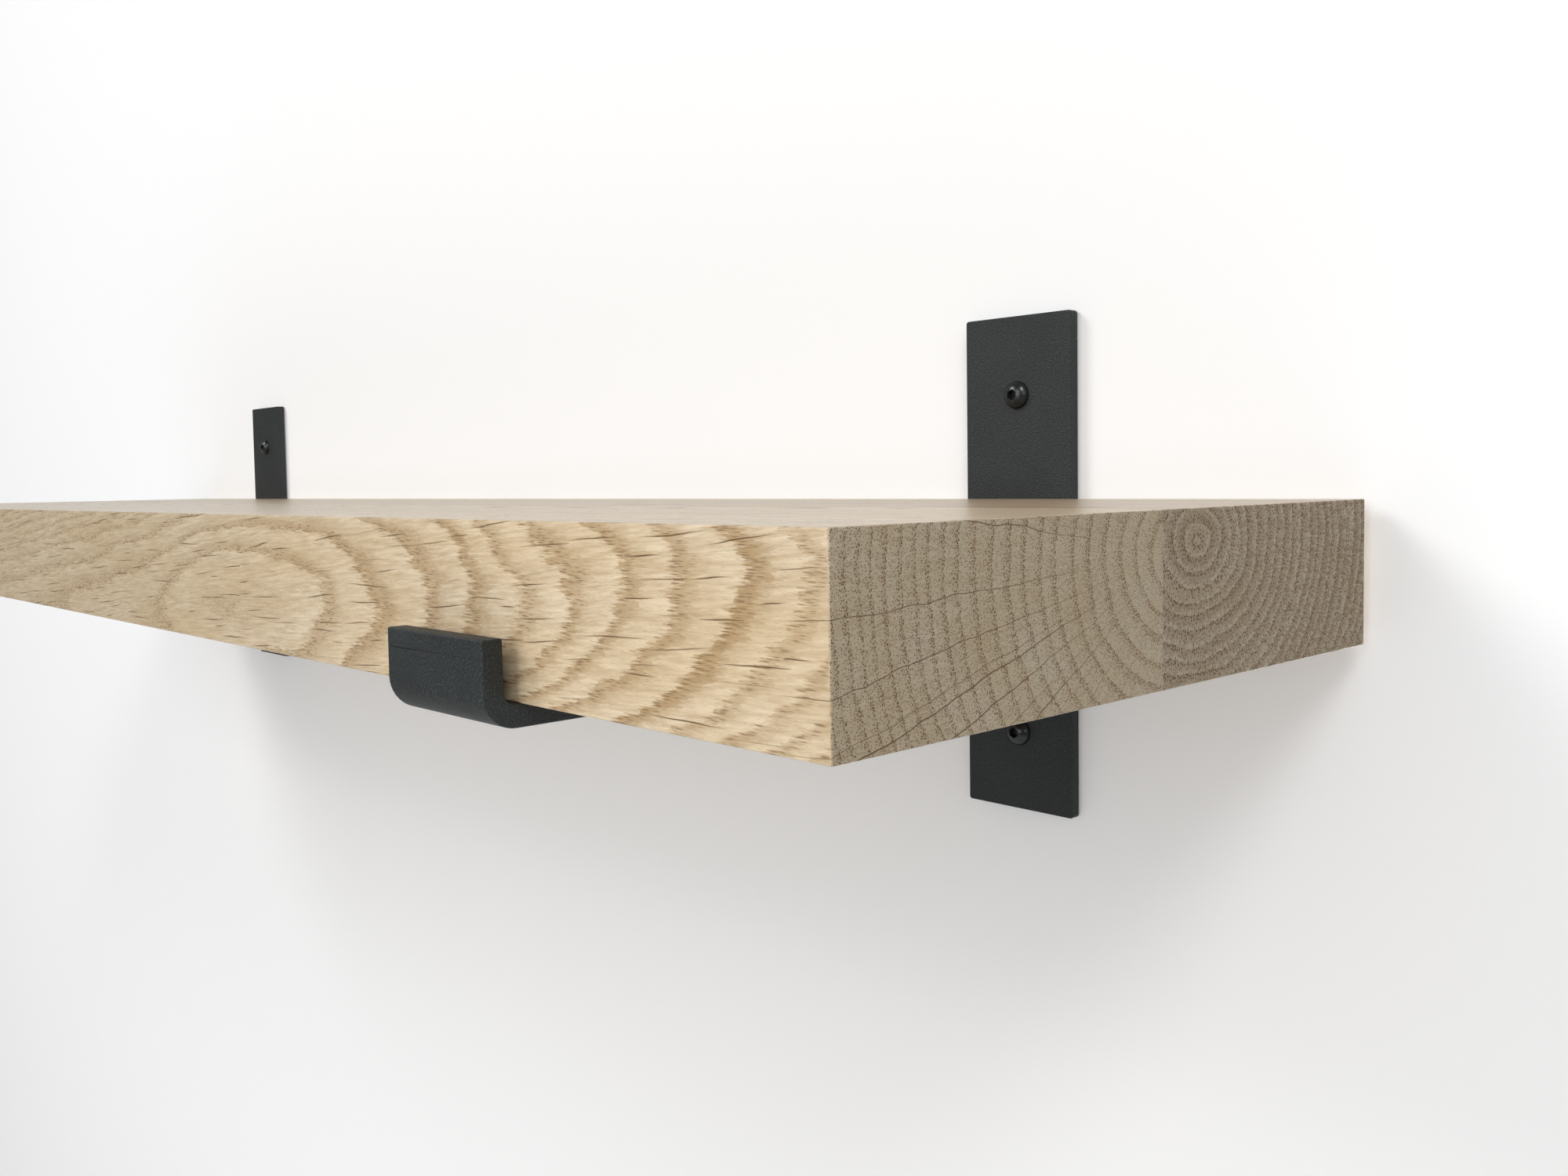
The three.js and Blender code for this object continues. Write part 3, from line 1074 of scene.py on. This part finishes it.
def add_thread(
    place: Vector, axis: Axis, start: float, length: float, radius: float, pitch: float
) -> Piece:
    """Models a rolled thread: one ridge wound round a shank.

    Args:
        place: The point of the axis at distance 0, in metres.
        axis: The shank's direction.
        start: Where the thread begins along the axis, in mm.
        length: How long the thread is, in mm.
        radius: The shank's radius in mm, where the ridge stands.
        pitch: The distance between turns in mm.

    Returns:
        The ridge, closed at both ends.
    """
    turns = int(length / pitch)
    clear_selection()
    bpy.ops.mesh.primitive_circle_add(vertices=3, radius=0.3 * pitch * MM)
    piece = bpy.context.object
    with editing(piece):
        bpy.ops.transform.resize(value=(0.7, 1.0, 1.0), center_override=(0, 0, 0))
        bpy.ops.transform.rotate(value=math.pi / 2, orient_axis="X", center_override=(0, 0, 0))
        bpy.ops.transform.translate(value=(radius * MM, 0, 0))
    apply_modifier(
        piece,
        "SCREW",
        axis="Z",
        screw_offset=pitch * MM,
        iterations=turns,
        steps=THREAD_STEPS,
        render_steps=THREAD_STEPS,
        use_merge_vertices=False,
    )
    with editing(piece):
        bpy.ops.mesh.select_mode(type="EDGE")
        bpy.ops.mesh.select_all(action="DESELECT")
        bpy.ops.mesh.select_non_manifold()
        bpy.ops.mesh.fill_holes(sides=4)
    piece.rotation_euler = Vector((0, 0, 1)).rotation_difference(axis.vector).to_euler()
    piece.location = place + axis.vector * start * MM
    settle(piece)
    face_outwards(piece)
    return piece


@dataclass
class WallScrew(BracketPiece):
    """A domed screw through the wall plate, with a hexagon socket."""

    kind = "wall_screw"
    made = "turned"
    slot = "black_screw_steel"
    spots = tuple(Level)
    smooth_angle = 35.0
    head_diameter: float = 9.0
    head_height: float = 3.2
    diameter: float = 4.4
    thread_height: float = 0.35
    tip_length: float = 7.0
    tip_radius: float = 0.2
    plain_shank: float = 6.0
    dome_steps: int = 9
    edge_ease: float = 0.12
    socket_across_flats: float = 3.0
    socket_depth: float = 1.8
    pitch: float = 2.0

    def model(self, side: Side, low: Vector, high: Vector) -> Piece:
        """Models the screw."""
        centre = (low + high) / 2
        place = Vector((centre.x, low.y, centre.z))
        length = (high.y - low.y) / MM
        head, shank = self.head_diameter / 2, self.diameter / 2 - self.thread_height
        turns = [step / self.dome_steps * math.pi / 2 for step in range(1, self.dome_steps + 1)]
        dome = [
            Station(self.head_height * (1 - math.cos(turn)), head * math.sin(turn))
            for turn in turns
        ]
        flat_top = [Station(0.0, 0.5 * dome[0].radius)]
        shaft = [
            Station(self.head_height + 0.001, shank),
            Station(length - self.tip_length, shank),
            Station(length, self.tip_radius),
        ]
        body = turn_piece(self.kind, flat_top + dome + shaft, Axis.INTO_WALL, place, 40)
        cut_away(body, [self._socket(place)])
        ease_edges(body, self.edge_ease, 2, angle=50)
        face_outwards(body)
        start = self.head_height + self.plain_shank
        run = length - self.tip_length - start
        thread = add_thread(place, Axis.INTO_WALL, start, run, shank, self.pitch)
        return join_pieces([body, thread])

    def _socket(self, place: Vector) -> Piece:
        """Makes the cutter for the hexagon socket."""
        radius = self.socket_across_flats / math.sqrt(3)
        stations = [Station(-1.0, radius), Station(self.socket_depth, radius)]
        return turn_piece("socket", stations, Axis.INTO_WALL, place, 6)


@dataclass
class WallPlug(BracketPiece):
    """A ribbed nylon plug, split along most of its length."""

    kind = "wall_plug"
    made = "moulded"
    slot = "nylon_plug"
    spots = tuple(Level)
    rib_pitch: float = 3.0
    rib_height: float = 0.5
    rib_rise: float = 0.8
    rib_taper: float = 0.02
    neck_length: float = 11.0
    slot_width: float = 1.2
    bore_radius: float = 2.45

    def model(self, side: Side, low: Vector, high: Vector) -> Piece:
        """Models the plug."""
        centre = (low + high) / 2
        place = Vector((centre.x, low.y, centre.z))
        length = (high.y - low.y) / MM
        radius = (high.x - low.x) / 2 / MM
        ribs = int((length - self.neck_length) / self.rib_pitch)
        stations = [Station(0.0, radius), Station(self.neck_length - 1, radius)]
        for rib in range(ribs):
            start = self.neck_length + rib * self.rib_pitch
            crest = radius - self.rib_taper * rib
            stations += [
                Station(start, crest - self.rib_height),
                Station(start + self.rib_rise * self.rib_pitch, crest),
            ]
        stations.append(Station(length, radius - 2 * self.rib_height))
        piece = turn_piece(self.kind, stations, Axis.INTO_WALL, place, 32)
        bore = [Station(-1.0, self.bore_radius), Station(length + 1.0, self.bore_radius)]
        slot_low = Vector((low.x - MM, place.y + self.neck_length * MM, 0))
        slot_high = Vector((high.x + MM, high.y + MM, 0))
        half = Vector((0, 0, self.slot_width / 2 * MM))
        middle = Vector((0, 0, centre.z))
        cutters = [
            turn_piece("bore", bore, Axis.INTO_WALL, place, 32),
            add_block("slot", slot_low + middle - half, slot_high + middle + half),
        ]
        cut_away(piece, cutters)
        face_outwards(piece)
        return piece


@dataclass
class ShelfScrew(BracketPiece):
    """A countersunk screw up through the arm into the board, with a cross recess."""

    kind = "shelf_screw"
    made = "rolled"
    slot = "zinc_plated_steel"
    spots = tuple(Row)
    head_diameter: float = 8.0
    diameter: float = 4.0
    rim: float = 0.5
    rim_ease: float = 0.15
    thread_height: float = 0.3
    tip_length: float = 6.0
    tip_radius: float = 0.2
    cross_width: float = 1.1
    cross_length: float = 4.4
    cross_depth: float = 1.6
    pitch: float = 1.8

    def model(self, side: Side, low: Vector, high: Vector) -> Piece:
        """Models the screw."""
        centre = (low + high) / 2
        foot = Vector((centre.x, centre.y, low.z))
        length = (high.z - low.z) / MM
        head, shank = self.head_diameter / 2, self.diameter / 2 - self.thread_height
        stations = [
            Station(0.0, head - self.rim_ease),
            Station(self.rim_ease, head),
            Station(self.rim, head),
            Station(self.rim + head - shank, shank),
            Station(length - self.tip_length, shank),
            Station(length, self.tip_radius),
        ]
        body = turn_piece(self.kind, stations, Axis.UP, foot, 36)
        reach, half = self.cross_length / 2 * MM, self.cross_width / 2 * MM
        depth = self.cross_depth * MM
        arms = [
            add_block("cross", foot - Vector((x, y, MM)), foot + Vector((x, y, depth)))
            for x, y in ((reach, half), (half, reach))
        ]
        cut_away(body, arms)
        face_outwards(body)
        start = self.rim + head
        run = length - self.tip_length - start
        thread = add_thread(foot, Axis.UP, start, run, shank, self.pitch)
        return join_pieces([body, thread])


@dataclass
class Brackets:
    """Both brackets, with the screws and plugs that fasten them."""

    plate: WallPlate = field(default_factory=WallPlate)
    arm: BracketArm = field(default_factory=BracketArm)
    weld: ArmWeld = field(default_factory=ArmWeld)
    wall_screw: WallScrew = field(default_factory=WallScrew)
    wall_plug: WallPlug = field(default_factory=WallPlug)
    shelf_screw: ShelfScrew = field(default_factory=ShelfScrew)

    def build(self, finishes: Finishes) -> None:
        """Builds each kind of piece in turn."""
        for piece, material in (
            (self.plate, finishes.powder_coat),
            (self.arm, finishes.powder_coat),
            (self.weld, finishes.powder_coat),
            (self.wall_screw, finishes.black_screw),
            (self.wall_plug, finishes.nylon),
            (self.shelf_screw, finishes.zinc),
        ):
            piece.build(material)


# ---- studio


@dataclass
class SoftBox:
    """A square studio light: where it hangs, what it points at, and how bright it is."""

    name: str
    place: tuple[float, float, float]
    target: tuple[float, float, float]
    size: float
    power: float
    colour: str = "#ffffff"

    def build(self) -> None:
        """Adds the light. Its places and size are in metres and its power in watts."""
        lamp = bpy.data.lights.new(self.name, "AREA")
        lamp.shape = "SQUARE"
        lamp.size = self.size
        lamp.energy = self.power
        lamp.color = linear_colour(self.colour)[:3]
        light = bpy.data.objects.new(self.name, lamp)
        aim = Vector(self.target) - Vector(self.place)
        light.location = self.place
        light.rotation_euler = aim.to_track_quat("-Z", "Y").to_euler()
        bpy.context.scene.collection.objects.link(light)


@dataclass
class Studio:
    """The pale floor and wall, the soft light and the camera."""

    floor_height: float = -1.1
    floor_size: float = 14.0
    wall_middle: tuple[float, float] = (-0.6, 0.9)
    wall_width: float = 5.2
    wall_gap: float = 0.0006
    wall_glow: float = 0.09
    world_strength: float = 0.16
    camera_place: tuple[float, float, float] = (543.77, -353.18, 45.77)
    camera_yaw: float = 0.82348
    camera_pitch: float = 0.05279
    camera_roll: float = -0.01618
    camera_lens: float = 30.382
    camera_shift: tuple[float, float] = (0.01908, -0.02506)
    sensor_width: float = 36.0

    def build(self) -> None:
        """Builds the whole studio."""
        bpy.context.scene.view_settings.view_transform = "Standard"
        self._world()
        self._floor()
        self._wall()
        for light in (
            SoftBox("key_light", (-2.0, -2.6, 2.2), (0.0, -0.1, 0.0), 1.5, 60.0),
            SoftBox("high_light", (1.5, -1.2, 1.7), (0.1, -0.1, 0.0), 0.8, 20.0),
            SoftBox("front_fill", (0.3, -2.6, 0.65), (0.0, -0.1, 0.0), 1.8, 29.0),
            SoftBox("right_fill", (2.4, -1.2, 0.8), (0.0, -0.1, 0.0), 1.5, 10.0),
            SoftBox("back_fill", (0.0, 2.2, -0.5), (0.0, 0.0, 0.0), 0.6, 40.0),
        ):
            light.build()
        self._camera()

    def _world(self) -> None:
        """Lights everything evenly from all round."""
        world = bpy.data.worlds.new("soft_daylight")
        world.use_nodes = True
        background = world.node_tree.nodes["Background"]
        background.inputs["Color"].default_value = linear_colour("#fbfcff")
        background.inputs["Strength"].default_value = self.world_strength
        bpy.context.scene.world = world

    def _plain_material(self, name: str, hex_colour: str, one_sided: bool) -> bpy.types.Material:
        """Makes a matt stage material. A one-sided one glows a little and is clear from behind."""
        material, add = new_material(name)
        surface = {"Base Color": hex_colour, "Roughness": 0.9}
        shader = add("ShaderNodeBsdfPrincipled", surface)
        if one_sided:
            glow = add("ShaderNodeEmission", {"Strength": self.wall_glow})
            shader = add("ShaderNodeAddShader", (shader, glow))
            behind = add("ShaderNodeNewGeometry", output="Backfacing")
            clear = add("ShaderNodeBsdfTransparent")
            shader = add("ShaderNodeMixShader", (behind, shader, clear))
        add("ShaderNodeOutputMaterial", {"Surface": shader})
        return material

    def _floor(self) -> None:
        """Lays a plain pale floor well under the shelf."""
        clear_selection()
        bpy.ops.mesh.primitive_plane_add(size=self.floor_size, location=(0, 0, self.floor_height))
        floor = bpy.context.object
        floor.name = "floor"
        floor.data.materials.append(self._plain_material("pale_floor", "#e6e6e6", False))

    def _wall(self) -> None:
        """Stands a plain wall behind the shelf, which is clear when it is seen from behind.

        It takes the shelf's shadow and shows in gloss, but doesn't shade the shelf itself.
        """
        clear_selection()
        x, z = self.wall_middle
        bpy.ops.mesh.primitive_plane_add(
            size=1, location=(x, self.wall_gap, z), rotation=(math.pi / 2, 0, 0)
        )
        wall = bpy.context.object
        wall.name = "wall"
        wall.scale = (self.wall_width, 2 * (z - self.floor_height), 1)
        wall.visible_diffuse = False
        wall.visible_shadow = False
        wall.data.materials.append(self._plain_material("pale_wall", "#ececec", True))

    def _camera(self) -> None:
        """Adds the camera from its place, its three turns and its lens."""
        yaw, pitch, roll = self.camera_yaw, self.camera_pitch, self.camera_roll
        forward = Vector(
            (-math.sin(yaw) * math.cos(pitch), math.cos(yaw) * math.cos(pitch), -math.sin(pitch))
        )
        level_right = Vector((math.cos(yaw), math.sin(yaw), 0))
        level_up = level_right.cross(forward)
        right = math.cos(roll) * level_right + math.sin(roll) * level_up
        up = -math.sin(roll) * level_right + math.cos(roll) * level_up
        lens = bpy.data.cameras.new("camera")
        lens.lens = self.camera_lens
        lens.sensor_width = self.sensor_width
        lens.shift_x, lens.shift_y = self.camera_shift
        lens.clip_start = 0.01
        camera = bpy.data.objects.new("camera", lens)
        turned = Matrix((right, up, -forward)).transposed().to_4x4()
        camera.matrix_world = Matrix.Translation(Vector(self.camera_place) * MM) @ turned
        bpy.context.scene.collection.objects.link(camera)
        bpy.context.scene.camera = camera


# ---- main


def main() -> None:
    """Builds the shelf around its frame, then the studio."""
    logging.basicConfig(level=logging.INFO, format="%(name)s %(message)s")
    LOG.info("frame: %d nodes", len(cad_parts))
    board_length = (cad_box[1].x - cad_box[0].x) / MM
    finishes = Finishes(board_length)
    Board().build(finishes)
    Brackets().build(finishes)
    Studio().build()


if __name__ == "__main__":
    main()
